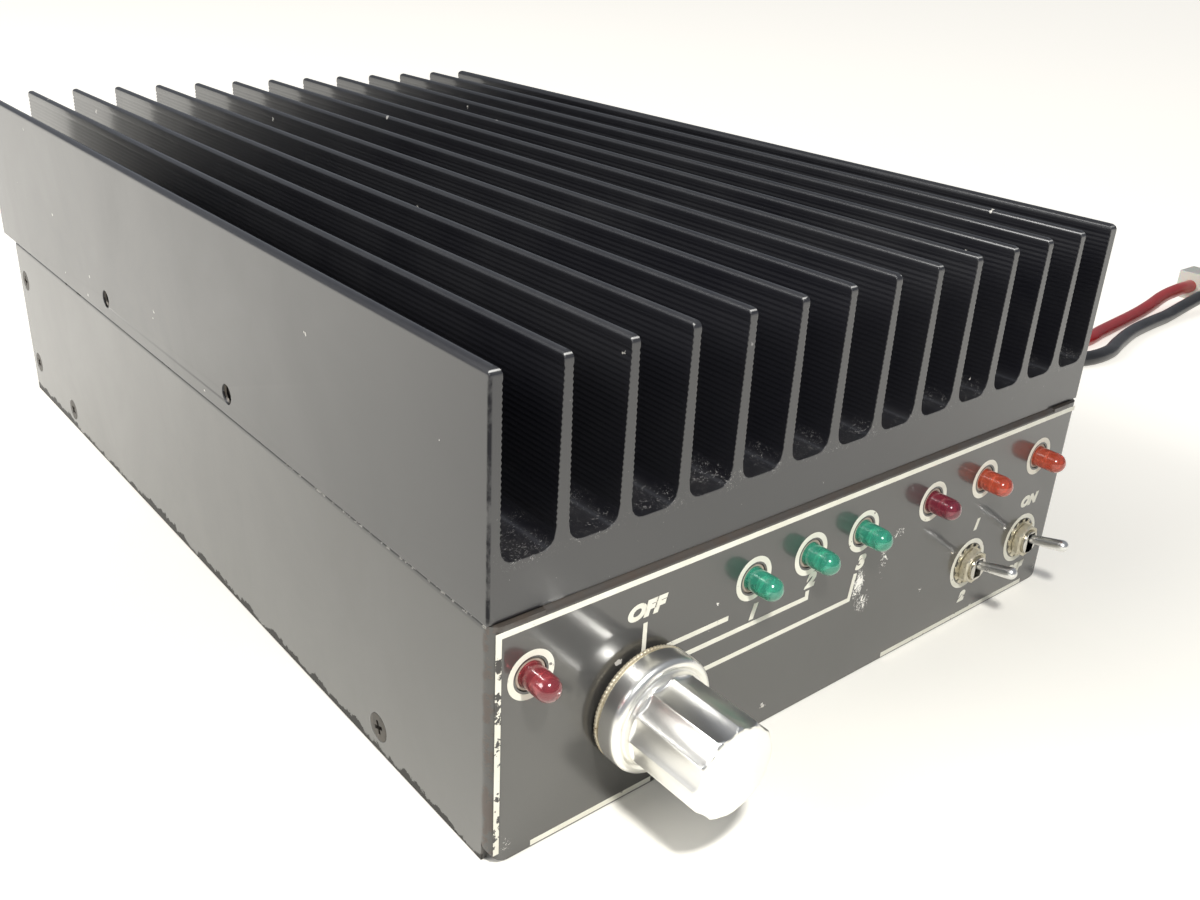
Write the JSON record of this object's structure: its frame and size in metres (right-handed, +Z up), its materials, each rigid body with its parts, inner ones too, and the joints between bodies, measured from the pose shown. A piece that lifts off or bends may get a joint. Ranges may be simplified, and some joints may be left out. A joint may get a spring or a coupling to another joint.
{
  "type": "hf linear amplifier",
  "caption": "Radio-frequency linear amplifier with a finned heatsink, low steel case, selector knob, indicator lamps, toggle switches, rear sockets and supply cords.",
  "frame": {"origin": "centre of the case's flat bottom face", "axes": "+Y from the front panel to the back, +Z up through the heatsink's fins, +X to the right seen from the front"},
  "size_m": [0.515, 0.3937, 0.0962],
  "materials": {
    "sink_black": "black anodised, semi-gloss",
    "case_black": "black paint, semi-gloss",
    "screw_black": "blackened steel",
    "screw_steel": "zinc plated",
    "knob_metal": "turned and polished",
    "nickel": "nickel plated",
    "washer_metal": "worn plating",
    "switch_body": "moulded",
    "phenolic": "phenolic sheet",
    "lamp_red": "tinted clear",
    "lamp_dark_red": "tinted clear",
    "lamp_green": "tinted clear",
    "lamp_orange": "tinted clear",
    "board_green": "glass laminate with solder mask",
    "ceramic": "ceramic and gold plate",
    "ferrite": "sintered ferrite",
    "copper_wound": "enamelled copper",
    "iron_powder": "painted powder core",
    "can_blue": "sleeved",
    "relay_plastic": "moulded",
    "terminal_black": "moulded",
    "gold_plate": "plated",
    "rubber_black": "moulded",
    "cord_red": "vinyl",
    "cord_black": "vinyl",
    "nylon": "natural nylon"
  },
  "bodies": {
    "chassis": {"heatsink": "sink_black", "case_wrap": "case_black", "rear_panel": "case_black", "bottom_cover": "case_black", "side_screws": "screw_black", "heatsink_screws": "screw_steel", "rear_flange_screws": "screw_steel", "selector_switch": "phenolic", "selector_nut": "nickel", "selector_washer": "nickel", "selector_tags": "gold_plate", "protection_lamp": "lamp_red", "level_lamp_low": "lamp_green", "level_lamp_middle": "lamp_green", "level_lamp_high": "lamp_green", "transmit_lamp": "lamp_dark_red", "mode_lamp": "lamp_orange", "preamp_lamp": "lamp_orange", "lamp_leads": "screw_steel", "lamp_board": "board_green", "lamp_board_pillars": "screw_steel", "mode_switch": "switch_body", "mode_nut": "nickel", "mode_washer": "washer_metal", "preamp_switch": "switch_body", "preamp_nut": "nickel", "preamp_washer": "washer_metal", "toggle_tags": "gold_plate", "power_board": "board_green", "filter_board": "board_green", "board_pillars": "screw_steel", "board_screws": "screw_steel", "rf_transistors": "ceramic", "transistor_screws": "screw_steel", "output_transformer": "ferrite", "input_transformer": "ferrite", "supply_choke": "copper_wound", "capacitors": "can_blue", "filter_toroids": "iron_powder", "relays": "relay_plastic", "thermal_switch": "nickel", "supply_terminals": "terminal_black", "input_socket": "nickel", "output_socket": "nickel", "socket_contacts": "gold_plate", "socket_screws": "screw_steel", "control_jack": "nickel", "ground_stud": "screw_steel", "ground_wing_nut": "nickel", "cord_bushes": "rubber_black", "red_cord": "cord_red", "black_cord": "cord_black", "supply_connector": "nylon"},
    "selector": {"power_knob": "knob_metal", "knob_grub_screw": "screw_black", "selector_shaft": "screw_steel"},
    "mode_lever": {"mode_lever": "nickel"},
    "preamp_lever": {"preamp_lever": "nickel"}
  },
  "joints": [
    {"name": "power_selector_turn", "type": "hinge", "parent": "chassis", "child": "selector", "pos_m": [-0.0555, -0.136, 0.0225], "axis": [0, 1, 0], "range_deg": [0, 90]},
    {"name": "mode_lever_tilt", "type": "hinge", "parent": "chassis", "child": "mode_lever", "pos_m": [0.0524, -0.1345, 0.016], "axis": [1, 0, 0], "range_deg": [0, 25]},
    {"name": "preamp_lever_tilt", "type": "hinge", "parent": "chassis", "child": "preamp_lever", "pos_m": [0.0754, -0.1345, 0.016], "axis": [1, 0, 0], "range_deg": [0, 25]}
  ]
}
